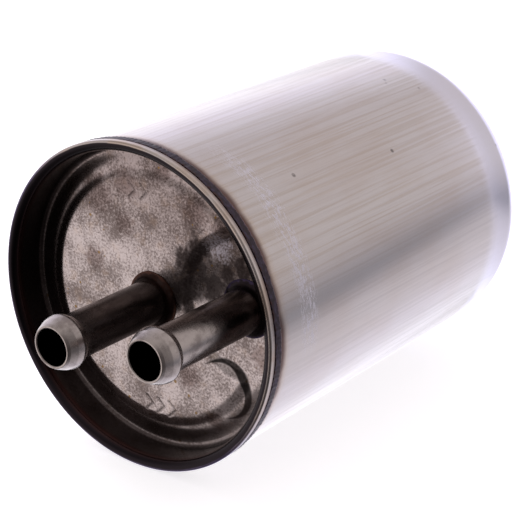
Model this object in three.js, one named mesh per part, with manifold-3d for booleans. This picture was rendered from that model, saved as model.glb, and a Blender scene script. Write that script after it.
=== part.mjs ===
// Small in-line fuel filter in a stainless can, lying on its side.
// Millimetres. +Y runs from the hose nipples to the closed end, and +Z is up.
// The origin is the centre of the closed end's flat face.
import * as THREE from 'three';
import { mergeVertices } from 'three/addons/utils/BufferGeometryUtils.js';
import Module from 'manifold-3d';

const wasm = await Module();
wasm.setup();

// Driving dimensions of the can and its rim.
const CAN_LENGTH = 88.8; // rolled lip to closed end
const CAN_RADIUS = 30.6;
const SHEET = 0.8; // can wall and end plate
const SHOULDER_LENGTH = 7.4; // rounded part of the closed end, along the axis
const END_FLAT_RADIUS = 21;
const LIP_RADIUS = 31;
const LIP_LENGTH = 1.2;
const WELD_LENGTH = 1.8;
const WELD_HEIGHT = 0.35;

// End plate, by depth behind the lip: a raised centre, and a lower seat round the inlet.
const PLATE_DEPTH = 6;
const PLATE_FLAT_RADIUS = 22;
const PLATE_DROP = 1; // from the raised centre to the seat and the outer channel
const FLANK_RADIUS = 24.8;
const CHANNEL_RADIUS = 27.8;
const SEAT_CUT_RADIUS = 12;
const SEAT_CUT_SLOPE = 1;
const CORNER = 0.3; // small rounding of a pressed edge
const MARK_DEPTH = 0.25;
const MARK_HEIGHT = 3;
const MARK_SPACING = 2.7;
const OUTLET_MARKS = { count: 3, x: -2.2, z: -21 };
const INLET_MARKS = { count: 2, x: -5.2, z: 20 };

// Hose nipples.
const NIPPLE_RADIUS = 4;
const NIPPLE_BORE = 3.3;
const NIPPLE_REACH = 20.5; // mouth in front of the lip
const BARB_RADIUS = 5;
const INLET_X = 20.8;
const INLET_Z = 3.2;
const BRAZE_RADIUS = 5.4;
const BRAZE_HEIGHT = 1.6;
const OUTLET_INNER_DEPTH = 15.4; // the outlet tube's inner end, behind the lip

// Filter element, by depth behind the lip.
const ELEMENT_TOP = 9.6;
const ELEMENT_BOTTOM = 73.4;
const CAP_RADIUS = 26.5;
const CAP_SHEET = 0.6;
const CAP_RIM = 3.5;
const COLLAR_RADIUS = 7.1;
const COLLAR_LENGTH = 4.8;
const GROMMET_FLANGE_RADIUS = 9.5;
const POTTING_HEIGHT = 1.6;
const POTTING_BORE = 7.9;
const PLEAT_COUNT = 32;
const PLEAT_OUTER_RADIUS = 25.2;
const PLEAT_INNER_RADIUS = 12;
const PAPER = 0.6;
const FOLD_HALF_WIDTH = 0.75; // middle of the paper at an outer fold
const CLIP_SHEET = 0.3;
const CLIP_LEG = 3;
const CLIP_GAP = 0.15;
const CORE_RADIUS = 11.2;
const CORE_SHEET = 0.6;
const CORE_HOLE_RADIUS = 2;
const CORE_ROWS = 5;
const HOLES_ACROSS = 3; // drilled right through, so twice as many holes in a row

// Preload spring between the element and the closed end.
const WIRE = 1.6;
const COIL_RADIUS = 13.8;
const COIL_TURNS = 3.5;
const SEAT_RADIUS = 16;
const SEAT_HEIGHT = 3;

const FIT = 0.1; // gap between pieces that touch
const ROUND_LARGE = 48; // sides of the large turned pieces
const ROUND_SMALL = 24;
const HALF_TURN = Math.PI;
const QUARTER_TURN = Math.PI / 2;
const FULL_TURN = 2 * Math.PI;

const LIP_Y = -CAN_LENGTH;
const MOUTH_Y = LIP_Y - NIPPLE_REACH;
const PLATE_Y = LIP_Y + PLATE_DEPTH;
const SEAT_Y = PLATE_Y + PLATE_DROP;
const LIP_UNDER_Y = LIP_Y + LIP_LENGTH;
const CAP_TOP_Y = LIP_Y + ELEMENT_TOP;
const CAP_BOTTOM_Y = LIP_Y + ELEMENT_BOTTOM;
const CORE_TOP_Y = CAP_TOP_Y + CAP_SHEET + POTTING_HEIGHT + 2 * FIT;
const CORE_BOTTOM_Y = CAP_BOTTOM_Y - CAP_SHEET - POTTING_HEIGHT - 2 * FIT;
const CORE_LENGTH = CORE_BOTTOM_Y - CORE_TOP_Y;

const stainless = { color: 0xb9b5b3, roughness: 0.35, metalness: 1 };
const pressedSteel = { color: 0x8f8a86, roughness: 0.45, metalness: 1 };
const tintedSteel = { color: 0x3b3a46, roughness: 0.5, metalness: 1 };
const nippleSteel = { color: 0x9a948f, roughness: 0.3, metalness: 1 };
const brazeMetal = { color: 0x7a5a40, roughness: 0.45, metalness: 1 };
const capSteel = { color: 0xa8a9aa, roughness: 0.4, metalness: 1 };
const filterPaper = { color: 0xd8c79a, roughness: 0.9, metalness: 0 };
const pottingResin = { color: 0x8a4b2a, roughness: 0.6, metalness: 0 };
const sealRubber = { color: 0x1b1b1c, roughness: 0.8, metalness: 0 };
const springSteel = { color: 0x6f7072, roughness: 0.3, metalness: 1 };

// A turned solid about the Y axis. The profile is a list of [radius, y], counter-clockwise,
// that closes on itself or starts and ends on the axis.
function turned(profile, sides = ROUND_LARGE) {
  const points = profile.map(([radius, y]) => new THREE.Vector2(radius, y));
  const onAxis = profile[0][0] === 0;
  if (!onAxis) points.push(points[0].clone());
  return new THREE.LatheGeometry(points, sides, HALF_TURN / sides);
}

// Points of an elliptical quarter from [radius, y] to the corner's other end.
function quarter(centreRadius, centreY, across, along, from, to, steps) {
  const points = [];
  for (let i = 0; i <= steps; i += 1) {
    const angle = from + ((to - from) * i) / steps;
    points.push([centreRadius + across * Math.cos(angle), centreY + along * Math.sin(angle)]);
  }
  return points;
}

// An outline in the XZ plane, drawn as x and -z, extruded along +Y from y = 0.
function alongY(shape, length) {
  const geometry = new THREE.ExtrudeGeometry(shape, { depth: length, bevelEnabled: false });
  return geometry.rotateX(-QUARTER_TURN);
}

// A straight-sided or tapered plug from y = low to y = high.
function plug(lowRadius, highRadius, low, high, sides = ROUND_LARGE) {
  return turned([[0, low], [lowRadius, low], [highRadius, high], [0, high]], sides);
}

function toSolid(geometry) {
  const bare = geometry.clone();
  bare.deleteAttribute('normal');
  bare.deleteAttribute('uv');
  const merged = mergeVertices(bare);
  const corners = merged.index.array;
  const kept = [];
  for (let i = 0; i < corners.length; i += 3) {
    const [a, b, c] = [corners[i], corners[i + 1], corners[i + 2]];
    if (a !== b && b !== c && c !== a) kept.push(a, b, c);
  }
  const vertProperties = merged.attributes.position.array;
  const triVerts = Uint32Array.from(kept);
  return new wasm.Manifold(new wasm.Mesh({ numProp: 3, vertProperties, triVerts }));
}

function toGeometry(solid) {
  const mesh = solid.getMesh();
  const geometry = new THREE.BufferGeometry();
  geometry.setAttribute('position', new THREE.BufferAttribute(mesh.vertProperties, 3));
  geometry.setIndex(new THREE.BufferAttribute(mesh.triVerts, 1));
  geometry.computeVertexNormals();
  return geometry;
}

function canisterGeometry() {
  const mouthY = LIP_UNDER_Y + 2 * FIT;
  const inner = CAN_RADIUS - SHEET;
  const across = CAN_RADIUS - END_FLAT_RADIUS;
  const innerCorner = quarter(
    END_FLAT_RADIUS, -SHOULDER_LENGTH, across - SHEET, SHOULDER_LENGTH - SHEET, QUARTER_TURN, 0, 7,
  );
  const outerCorner = quarter(
    END_FLAT_RADIUS, -SHOULDER_LENGTH, across, SHOULDER_LENGTH, 0, QUARTER_TURN, 8,
  );
  return turned([
    [0, -SHEET],
    ...innerCorner,
    [inner, mouthY],
    [CAN_RADIUS, mouthY],
    ...outerCorner,
    [0, 0],
  ]);
}

// Everything behind the plate's front face: centre, flank, channel, wall and rolled edge.
function plateFront(backY) {
  const outside = CAN_RADIUS - SHEET - FIT;
  const wall = outside - SHEET;
  return turned([
    [0, PLATE_Y],
    [PLATE_FLAT_RADIUS, PLATE_Y],
    [FLANK_RADIUS - 1, PLATE_Y + PLATE_DROP * 0.2],
    [FLANK_RADIUS, PLATE_Y + PLATE_DROP * 0.65],
    [CHANNEL_RADIUS, SEAT_Y],
    [wall - CORNER, SEAT_Y - CORNER],
    [wall, SEAT_Y - 1],
    [wall, LIP_Y + 1.6],
    [wall + CORNER, LIP_Y + 0.8],
    [wall + 0.8, LIP_Y + CORNER],
    [LIP_RADIUS - 0.6, LIP_Y],
    [LIP_RADIUS - CORNER, LIP_Y],
    [LIP_RADIUS, LIP_Y + 0.4],
    [LIP_RADIUS, LIP_UNDER_Y - 0.2],
    [LIP_RADIUS - 0.2, LIP_UNDER_Y],
    [outside + 0.2, LIP_UNDER_Y],
    [outside, LIP_UNDER_Y + 0.2],
    [outside, backY],
    [0, backY],
  ]);
}

// Everything behind the plate's back face, one sheet deeper.
function plateBack(backY) {
  const outside = CAN_RADIUS - SHEET - FIT;
  return turned([
    [0, PLATE_Y + SHEET],
    [PLATE_FLAT_RADIUS, PLATE_Y + SHEET],
    [FLANK_RADIUS, PLATE_Y + PLATE_DROP * 0.65 + SHEET],
    [CHANNEL_RADIUS, SEAT_Y + SHEET],
    [outside, SEAT_Y],
    [LIP_RADIUS, SEAT_Y],
    [LIP_RADIUS, backY],
    [0, backY],
  ]);
}

// One stamped chevron, a generic flow mark, with its point towards +X.
function chevron(x, z) {
  const half = MARK_HEIGHT / 2;
  const stroke = MARK_HEIGHT / 4;
  const shape = new THREE.Shape();
  shape.moveTo(0, -half);
  shape.lineTo(stroke, -half);
  shape.lineTo(half + stroke, 0);
  shape.lineTo(stroke, half);
  shape.lineTo(0, half);
  shape.lineTo(half, 0);
  shape.closePath();
  return alongY(shape, 2 * MARK_DEPTH).translate(x, PLATE_Y - MARK_DEPTH, z);
}

function atInlet(geometry) {
  return toSolid(geometry.translate(INLET_X, 0, INLET_Z));
}

function stampMarks(solid, { count, x, z }) {
  let stamped = solid;
  for (let i = 0; i < count; i += 1) {
    stamped = stamped.subtract(toSolid(chevron(x + i * MARK_SPACING, z)));
  }
  return stamped;
}

// The sheet between its front and back faces, with the inlet's seat pressed in and two holes.
function endPlateGeometry() {
  const backY = SEAT_Y + 3 * SHEET;
  const frontTop = PLATE_Y - 1;
  const cutTop = SEAT_CUT_RADIUS + 2 * SEAT_CUT_SLOPE;
  const hole = NIPPLE_RADIUS + FIT;
  const seatFront = atInlet(plug(cutTop, SEAT_CUT_RADIUS, frontTop, SEAT_Y))
    .intersect(toSolid(plug(CHANNEL_RADIUS, CHANNEL_RADIUS, frontTop, SEAT_Y)));
  const seatBack = atInlet(plug(cutTop + SHEET, SEAT_CUT_RADIUS + SHEET, frontTop, SEAT_Y + SHEET));
  const behind = toSolid(plateBack(backY + 1)).subtract(seatBack);
  const solid = toSolid(plateFront(backY))
    .subtract(seatFront)
    .subtract(behind)
    .subtract(toSolid(plug(hole, hole, frontTop, backY, ROUND_SMALL)))
    .subtract(atInlet(plug(hole, hole, frontTop, backY, ROUND_SMALL)));
  return toGeometry(stampMarks(stampMarks(solid, OUTLET_MARKS), INLET_MARKS));
}

function rimWeldGeometry() {
  const start = LIP_UNDER_Y + CORNER;
  const inner = CAN_RADIUS + FIT / 2;
  const crest = CAN_RADIUS + WELD_HEIGHT;
  return turned([
    [inner, start],
    [crest - 0.1, start],
    [crest, start + 0.4],
    [crest, start + WELD_LENGTH - 0.6],
    [inner + 0.1, start + WELD_LENGTH],
    [inner, start + WELD_LENGTH],
  ]);
}

// A hose nipple with a barb bead just behind its mouth.
function nippleGeometry(innerEndY) {
  return turned([
    [NIPPLE_BORE, MOUTH_Y],
    [NIPPLE_RADIUS - 0.3, MOUTH_Y],
    [NIPPLE_RADIUS, MOUTH_Y + 0.4],
    [BARB_RADIUS - 0.15, MOUTH_Y + 2.6],
    [BARB_RADIUS, MOUTH_Y + 3],
    [BARB_RADIUS, MOUTH_Y + 3.4],
    [BARB_RADIUS - 0.2, MOUTH_Y + 3.8],
    [NIPPLE_RADIUS, MOUTH_Y + 4.8],
    [NIPPLE_RADIUS, innerEndY],
    [NIPPLE_BORE, innerEndY],
  ], ROUND_SMALL);
}

// A concave braze fillet that stands on the plate round a nipple.
function brazeGeometry(surfaceY) {
  const inner = NIPPLE_RADIUS + FIT;
  const base = surfaceY - FIT;
  return turned([
    [inner, surfaceY - BRAZE_HEIGHT],
    [inner + 0.5, surfaceY - BRAZE_HEIGHT * 0.55],
    [BRAZE_RADIUS, base - 0.2],
    [BRAZE_RADIUS, base],
    [inner, base],
  ], ROUND_SMALL);
}

function upperCapGeometry() {
  const under = CAP_TOP_Y + CAP_SHEET;
  return turned([
    [COLLAR_RADIUS, CAP_TOP_Y],
    [CAP_RADIUS, CAP_TOP_Y],
    [CAP_RADIUS, CAP_TOP_Y + CAP_RIM],
    [CAP_RADIUS - CAP_SHEET, CAP_TOP_Y + CAP_RIM],
    [CAP_RADIUS - CAP_SHEET, under],
    [COLLAR_RADIUS + CAP_SHEET, under],
    [COLLAR_RADIUS + CAP_SHEET, CAP_TOP_Y + COLLAR_LENGTH],
    [COLLAR_RADIUS, CAP_TOP_Y + COLLAR_LENGTH],
  ]);
}

function lowerCapGeometry() {
  const above = CAP_BOTTOM_Y - CAP_SHEET;
  return turned([
    [0, above],
    [CAP_RADIUS - CAP_SHEET, above],
    [CAP_RADIUS - CAP_SHEET, CAP_BOTTOM_Y - CAP_RIM],
    [CAP_RADIUS, CAP_BOTTOM_Y - CAP_RIM],
    [CAP_RADIUS, CAP_BOTTOM_Y],
    [0, CAP_BOTTOM_Y],
  ]);
}

function pottingGeometry(lowY) {
  const outer = CAP_RADIUS - CAP_SHEET - FIT;
  const highY = lowY + POTTING_HEIGHT;
  return turned([[POTTING_BORE, lowY], [outer, lowY], [outer, highY], [POTTING_BORE, highY]]);
}

// One side of the folded paper as a closed outline. foldOut and foldIn are half-widths
// of the outer fold and of the gap at the inner fold.
function pleatOutline(outerRadius, innerRadius, foldOut, foldIn) {
  const pitch = FULL_TURN / PLEAT_COUNT;
  const points = [];
  for (let i = 0; i < PLEAT_COUNT; i += 1) {
    const corners = [
      [outerRadius, i * pitch - foldOut / outerRadius],
      [outerRadius, i * pitch + foldOut / outerRadius],
      [innerRadius, (i + 0.5) * pitch - foldIn / innerRadius],
      [innerRadius, (i + 0.5) * pitch + foldIn / innerRadius],
    ];
    for (const [radius, angle] of corners) {
      points.push(new THREE.Vector2(radius * Math.cos(angle), radius * Math.sin(angle)));
    }
  }
  return points;
}

function pleatedMediaGeometry() {
  const half = PAPER / 2;
  const foldIn = (HALF_TURN * PLEAT_INNER_RADIUS) / PLEAT_COUNT / 2;
  const outside = pleatOutline(
    PLEAT_OUTER_RADIUS, PLEAT_INNER_RADIUS + PAPER, FOLD_HALF_WIDTH + half, foldIn - half,
  );
  const inside = pleatOutline(
    PLEAT_OUTER_RADIUS - PAPER, PLEAT_INNER_RADIUS, FOLD_HALF_WIDTH - half, foldIn + half,
  );
  const shape = new THREE.Shape(outside);
  shape.holes.push(new THREE.Path(inside));
  return alongY(shape, CORE_LENGTH).translate(0, CORE_TOP_Y, 0);
}

// A folded strip that grips one outer fold, where the paper's two ends meet.
function seamClipGeometry() {
  const inside = FOLD_HALF_WIDTH + PAPER / 2 + CLIP_GAP;
  const outside = inside + CLIP_SHEET;
  const crown = PLEAT_OUTER_RADIUS + CLIP_GAP;
  const shape = new THREE.Shape();
  shape.moveTo(-outside, crown - CLIP_LEG);
  shape.lineTo(-outside, crown + CLIP_SHEET);
  shape.lineTo(outside, crown + CLIP_SHEET);
  shape.lineTo(outside, crown - CLIP_LEG);
  shape.lineTo(inside, crown - CLIP_LEG);
  shape.lineTo(inside, crown);
  shape.lineTo(-inside, crown);
  shape.lineTo(-inside, crown - CLIP_LEG);
  shape.closePath();
  const start = CAP_TOP_Y + CAP_RIM + FIT;
  const length = CAP_BOTTOM_Y - CAP_RIM - FIT - start;
  return alongY(shape, length).translate(0, start, 0);
}

function coreTubeGeometry() {
  const inner = CORE_RADIUS - CORE_SHEET;
  let solid = toSolid(turned([
    [inner, CORE_TOP_Y],
    [CORE_RADIUS, CORE_TOP_Y],
    [CORE_RADIUS, CORE_BOTTOM_Y],
    [inner, CORE_BOTTOM_Y],
  ], ROUND_SMALL));
  const rowPitch = CORE_LENGTH / (CORE_ROWS + 1);
  for (let row = 0; row < CORE_ROWS; row += 1) {
    for (let i = 0; i < HOLES_ACROSS; i += 1) {
      const angle = ((i + (row % 2) / 2) * HALF_TURN) / HOLES_ACROSS;
      const drill = new THREE.CylinderGeometry(CORE_HOLE_RADIUS, CORE_HOLE_RADIUS, 3 * CORE_RADIUS, 8)
        .rotateZ(QUARTER_TURN)
        .rotateY(angle)
        .translate(0, CORE_TOP_Y + (row + 1) * rowPitch, 0);
      solid = solid.subtract(toSolid(drill));
    }
  }
  return toGeometry(solid);
}

// A rubber bush: its nose seals on the end plate, and its neck sits in the cap's collar.
function grommetGeometry() {
  const bore = NIPPLE_RADIUS + FIT;
  const neck = COLLAR_RADIUS - FIT;
  const noseTop = PLATE_Y + SHEET + FIT;
  const flangeTop = SEAT_Y + SHEET + FIT;
  const flangeUnder = CAP_TOP_Y - FIT;
  const neckEnd = CAP_TOP_Y + COLLAR_LENGTH;
  return turned([
    [bore, noseTop],
    [neck - CORNER, noseTop],
    [neck, noseTop + CORNER],
    [neck, flangeTop],
    [GROMMET_FLANGE_RADIUS, flangeTop],
    [GROMMET_FLANGE_RADIUS, flangeUnder],
    [neck, flangeUnder],
    [neck, neckEnd],
    [bore, neckEnd],
  ], ROUND_SMALL);
}

function springSeatGeometry() {
  const low = CAP_BOTTOM_Y + FIT;
  const high = low + CAP_SHEET;
  return turned([
    [0, low],
    [SEAT_RADIUS, low],
    [SEAT_RADIUS, low + SEAT_HEIGHT],
    [SEAT_RADIUS - CAP_SHEET, low + SEAT_HEIGHT],
    [SEAT_RADIUS - CAP_SHEET, high],
    [0, high],
  ], ROUND_SMALL);
}

// The wire's centre line: a helix whose end coils rise more slowly than its middle.
class SpringLine extends THREE.Curve {
  constructor(low, high) {
    super();
    this.low = low;
    this.high = high;
  }

  getPoint(t, target = new THREE.Vector3()) {
    const angle = FULL_TURN * COIL_TURNS * t;
    const rise = t - (0.5 * Math.sin(FULL_TURN * t)) / FULL_TURN;
    const y = this.low + (this.high - this.low) * rise;
    return target.set(COIL_RADIUS * Math.cos(angle), y, COIL_RADIUS * Math.sin(angle));
  }
}

function springGeometry() {
  const half = WIRE / 2;
  const low = CAP_BOTTOM_Y + CAP_SHEET + 3 * FIT + half;
  const high = -SHEET - FIT - half;
  const section = new THREE.Shape();
  section.absarc(0, 0, half, 0, FULL_TURN);
  return new THREE.ExtrudeGeometry(section, {
    steps: 16 * COIL_TURNS,
    curveSegments: 4,
    extrudePath: new SpringLine(low, high),
  });
}

const filter = new THREE.Group();

function place(name, geometry, finish, x = 0, z = 0) {
  const mesh = new THREE.Mesh(geometry, new THREE.MeshStandardMaterial(finish));
  mesh.name = name;
  mesh.position.set(x, 0, z);
  filter.add(mesh);
}

place('canister', canisterGeometry(), stainless);
place('end_plate', endPlateGeometry(), pressedSteel);
place('rim_weld', rimWeldGeometry(), tintedSteel);
place('outlet_tube', nippleGeometry(LIP_Y + OUTLET_INNER_DEPTH), nippleSteel);
place('inlet_tube', nippleGeometry(SEAT_Y + SHEET), nippleSteel, INLET_X, INLET_Z);
place('outlet_braze_ring', brazeGeometry(PLATE_Y), brazeMetal);
place('inlet_braze_ring', brazeGeometry(SEAT_Y), brazeMetal, INLET_X, INLET_Z);
place('outlet_grommet', grommetGeometry(), sealRubber);
place('upper_end_cap', upperCapGeometry(), capSteel);
place('upper_potting', pottingGeometry(CAP_TOP_Y + CAP_SHEET + FIT), pottingResin);
place('pleated_media', pleatedMediaGeometry(), filterPaper);
place('seam_clip', seamClipGeometry(), capSteel);
place('core_tube', coreTubeGeometry(), capSteel);
place('lower_potting', pottingGeometry(CORE_BOTTOM_Y + FIT), pottingResin);
place('lower_end_cap', lowerCapGeometry(), capSteel);
place('spring_seat', springSeatGeometry(), capSteel);
place('preload_spring', springGeometry(), springSteel);

export default filter;
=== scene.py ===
import math

import bmesh
import bpy
from bpy.props import FloatProperty, FloatVectorProperty, IntProperty, PointerProperty
from mathutils import Matrix, Vector, noise


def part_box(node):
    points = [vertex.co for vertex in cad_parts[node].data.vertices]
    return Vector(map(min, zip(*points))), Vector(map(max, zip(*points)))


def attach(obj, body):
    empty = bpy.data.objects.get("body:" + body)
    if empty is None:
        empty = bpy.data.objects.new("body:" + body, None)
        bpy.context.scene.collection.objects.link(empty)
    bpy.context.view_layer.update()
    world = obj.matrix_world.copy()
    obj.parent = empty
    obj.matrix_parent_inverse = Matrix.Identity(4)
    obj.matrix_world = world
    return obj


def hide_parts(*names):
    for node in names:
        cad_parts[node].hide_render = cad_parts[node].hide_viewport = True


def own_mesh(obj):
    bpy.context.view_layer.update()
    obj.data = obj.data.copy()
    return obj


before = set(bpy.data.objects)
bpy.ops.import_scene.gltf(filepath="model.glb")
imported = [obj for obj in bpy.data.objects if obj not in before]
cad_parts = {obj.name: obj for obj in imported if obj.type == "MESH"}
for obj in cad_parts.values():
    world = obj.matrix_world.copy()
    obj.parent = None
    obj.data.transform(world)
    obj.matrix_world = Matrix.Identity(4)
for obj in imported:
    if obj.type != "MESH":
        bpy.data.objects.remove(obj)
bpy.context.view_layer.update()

bl_info = {
    "name": "Fuel Filter",
    "version": (1, 0, 0),
    "blender": (4, 5, 0),
    "location": "View3D > Sidebar > Fuel Filter",
    "description": "Builds a small in-line fuel filter in a brushed stainless can",
    "category": "Object",
}

MM = 0.001
CAD_SIDES = 48  # the frame's large turned pieces are polygons of this many sides
CAD_SIDES_SMALL = 24  # and the nipples and braze rings of this many
SIDES_CAN = 256
SIDES_PLATE = 512
SIDES_WELD = 720
SIDES_NIPPLE = 128
ARC_STEP = math.radians(9)
SHARP_ANGLE = math.radians(40)


def linear(hex_colour):
    """Linear red, green and blue of an sRGB hex colour."""
    channels = [int(hex_colour[i : i + 2], 16) / 255 for i in (1, 3, 5)]
    return tuple(c / 12.92 if c <= 0.04045 else ((c + 0.055) / 1.055) ** 2.4 for c in channels)


def turned_radius(node, sides=CAD_SIDES):
    """True outside radius of a turned CAD node, from the width of its polygon."""
    low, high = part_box(node)
    return (high.x - low.x) / 2 / math.cos(math.pi / sides)


def middle(node):
    """Centre of a CAD node's box."""
    low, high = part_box(node)
    return (low + high) / 2


LIP_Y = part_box("end_plate")[0].y
MOUTH_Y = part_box("outlet_tube")[0].y
INLET = middle("inlet_tube")
OUTLET = middle("outlet_tube")


def length(name, description, default):
    """A size that the user can change, in metres."""
    return FloatProperty(name=name, description=description, default=default, unit="LENGTH")


def colour(name, description, hex_colour):
    """A colour that the user can change."""
    return FloatVectorProperty(
        name=name, description=description, default=linear(hex_colour), size=3, subtype="COLOR")


class CanSizes(bpy.types.PropertyGroup):
    """The drawn can and its seam weld."""

    radius: length("Can radius", "Outside radius of the straight wall", turned_radius("canister"))
    sheet: length("Sheet", "Thickness of the can's wall", 0.8 * MM)
    mouth: length("Mouth", "Where the can's open edge lies along the axis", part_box("canister")[0].y)
    shoulder: length("Shoulder", "Length of the rounded part of the closed end", 7.4 * MM)
    end_flat: length("End flat", "Radius of the closed end's flat face", 21 * MM)
    step: length("Draw step", "How far the wall steps in at the draw line", 0.05 * MM)
    draw_line: length(
        "Draw line", "From the closed end to the draw line, where brushing stops", 13.6 * MM)
    weld_start: length("Weld start", "Front edge of the weld along the axis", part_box("rim_weld")[0].y)
    weld_end: length("Weld end", "Back edge of the weld along the axis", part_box("rim_weld")[1].y)
    weld_radius: length("Weld radius", "Radius of the weld's crest", turned_radius("rim_weld"))
    weld_ripple: length("Weld ripple", "Height of the weld's ripples", 0.06 * MM)
    weld_pitch: length("Weld pitch", "Distance between the weld's ripples", 0.9 * MM)


class PlateSizes(bpy.types.PropertyGroup):
    """The dished plate that closes the port end. Depths count back from the rolled lip."""

    lip_radius: length("Lip radius", "Outside radius of the rolled lip", turned_radius("end_plate"))
    lip_length: length("Lip length", "Length of the rolled lip along the axis", 1.2 * MM)
    lip_round: length("Lip rounding", "Radius of the roll from the wall to the lip", 1.5 * MM)
    wall: length("Wall radius", "Inside radius of the dish", 28.9 * MM)
    sheet: length("Plate sheet", "Thickness of the plate", 0.8 * MM)
    depth: length("Centre depth", "Depth of the raised centre", 6 * MM)
    drop: length("Drop", "Height of the raised centre over the inlet's seat", 1 * MM)
    foot: length("Foot radius", "Radius of the foot of the raised centre", 24.8 * MM)
    foot_drop: length("Foot drop", "Drop from the raised centre to its foot", 0.6 * MM)
    channel: length("Channel radius", "Radius of the deepest line of the outer channel", 27.8 * MM)
    shoulder: length("Shoulder width", "Width of the slope round the raised centre", 2.6 * MM)
    seat: length("Seat radius", "Radius of the lower seat round the inlet", 12 * MM)
    corner: length("Corner radius", "Rounding where the seat meets the channel", 3.5 * MM)
    hole: length("Hole radius", "Radius of the two nipple holes", 4.1 * MM)
    mark_height: length("Mark height", "Height of a stamped chevron", 3 * MM)
    mark_stroke: length("Mark stroke", "Width of a chevron's groove", 0.62 * MM)
    mark_depth: length("Mark depth", "Depth of a chevron's groove", 0.14 * MM)
    mark_spacing: length("Mark spacing", "Distance between chevrons", 2.7 * MM)
    outlet_marks: IntProperty(
        name="Outlet marks", description="Number of chevrons beside the outlet", default=3, min=0)
    inlet_marks: IntProperty(
        name="Inlet marks", description="Number of chevrons beside the inlet", default=2, min=0)


class NippleSizes(bpy.types.PropertyGroup):
    """The two hose nipples and the braze at their roots."""

    radius: length("Tube radius", "Outside radius of the nipple", 4.06 * MM)
    bore: length("Bore radius", "Radius of the bore", 3.4 * MM)
    barb: length(
        "Barb radius", "Largest radius of the barb bead", turned_radius("outlet_tube", CAD_SIDES_SMALL))
    barb_crest: length("Barb crest", "From the mouth to the barb's crest", 3.2 * MM)
    barb_end: length("Barb end", "From the mouth to the end of the barb", 4.9 * MM)
    braze: length(
        "Braze radius", "Outside radius of the braze fillet",
        turned_radius("outlet_braze_ring", CAD_SIDES_SMALL))
    braze_wander: length("Braze wander", "How far the braze's edge runs in and out", 0.16 * MM)


class SpringSizes(bpy.types.PropertyGroup):
    """The preload spring behind the element."""

    wire: length("Wire", "Diameter of the spring wire", 1.6 * MM)
    turns: FloatProperty(
        name="Turns", description="Number of turns, with both closed ends", default=3.5)
    steps: IntProperty(
        name="Steps", description="Steps along the wire for each turn", default=64, min=8)


class FilterColours(bpy.types.PropertyGroup):
    """The colours that the finishes start from."""

    stainless: colour("Stainless", "Brushed stainless steel", "#ddd7d6")
    stainless_line: colour("Stainless line", "The darker lines that brushing leaves", "#cfc3b8")
    drawn_end: colour("Drawn end", "Plain drawn stainless past the draw line", "#efedfa")
    straw_tint: colour("Straw tint", "Steel tinted by moderate heat", "#c2a88f")
    brown_tint: colour("Brown tint", "Steel tinted brown close to the weld", "#5a3f3c")
    blue_tint: colour("Blue tint", "Steel tinted dark blue by the weld's heat", "#433c40")
    plate_light: colour("Plate light", "Light patches of the pickled plate", "#d2c8c7")
    plate_dark: colour("Plate dark", "Dark patches of the pickled plate", "#7f7471")
    plate_scale: colour("Plate scale", "Filter of the plate's scaly patches", "#b9aeab")
    # Painted shade: fills the step beside the inlet seat and the nipples' bores.
    grime: colour("Grime", "Burnt grime in the step beside the seat and in the bores", "#120f0e")
    # Also a painted lavender highlight on the lip's low side.
    lip_lavender: colour("Lip lavender", "Heat tint on the low side of the lip's edge", "#6d6480")
    # Also painted shade on the inside of the rolled lip.
    lip_roll: colour("Lip roll", "Dark heat tint on the inside of the rolled lip", "#2a2529")
    # Also used for painted shade and reflection on the plate's rim, its chevron grooves, the plate between
    # the nipples and the nipples' roots.
    oxide: colour("Oxide", "Dark oxide on the plate's flank and wall", "#3c3332")
    rust: colour("Rust", "Small rust spots", "#8a6a32")
    satin_steel: colour("Satin steel", "The hose nipples", "#bdb4b0")
    # Painted shade on the nipples towards their roots.
    tube_soot: colour("Tube soot", "Brown-grey soot on the plain tube", "#665a5a")
    copper: colour("Copper", "Oxidised copper braze", "#553a31")
    brown_soot: colour("Brown soot", "Soot on the copper braze", "#33231f")
    violet_tint: colour("Violet tint", "Braze tinted violet by heat", "#463c58")
    zinc: colour("Zinc", "Zinc-plated caps and core", "#c3c8cb")
    rubber: colour("Rubber", "Nitrile rubber", "#1b1b1c")
    resin: colour("Resin", "Potting compound", "#8a4b2a")
    paper: colour("Paper", "Resin-cured filter paper", "#d8c79a")
    spring: colour("Spring wire", "Drawn spring wire", "#8f9093")


class StageSettings(bpy.types.PropertyGroup):
    """The camera, the floor and the light round the filter."""

    lens: FloatProperty(name="Lens", description="Focal length in millimetres", default=115.4)
    azimuth: FloatProperty(
        name="Azimuth", description="Camera's turn towards +X from looking along +Y",
        default=math.radians(37.13), subtype="ANGLE")
    elevation: FloatProperty(
        name="Elevation", description="Camera's height over the horizon",
        default=math.radians(21.2), subtype="ANGLE")
    distance: length("Distance", "Camera to its aim", 319.4 * MM)
    aim: FloatVectorProperty(
        name="Aim", description="Point that the camera looks at",
        subtype="TRANSLATION", size=3, default=(3.4 * MM, -55.4 * MM, 0))
    floor_radius: length("Floor radius", "Radius of the floor", 6.0)
    dome_strength: FloatProperty(
        name="Dome strength", description="Brightness of the light dome", default=1.75)


class FilterSettings(bpy.types.PropertyGroup):
    """Everything that the operators read."""

    can: PointerProperty(type=CanSizes)
    plate: PointerProperty(type=PlateSizes)
    nipple: PointerProperty(type=NippleSizes)
    spring: PointerProperty(type=SpringSizes)
    colours: PointerProperty(type=FilterColours)
    stage: PointerProperty(type=StageSettings)


# ---------------------------------------------------------------- mesh work


def ease(value):
    """Smooth step from 0 to 1."""
    t = min(max(value, 0.0), 1.0)
    return t * t * (3 - 2 * t)


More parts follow.
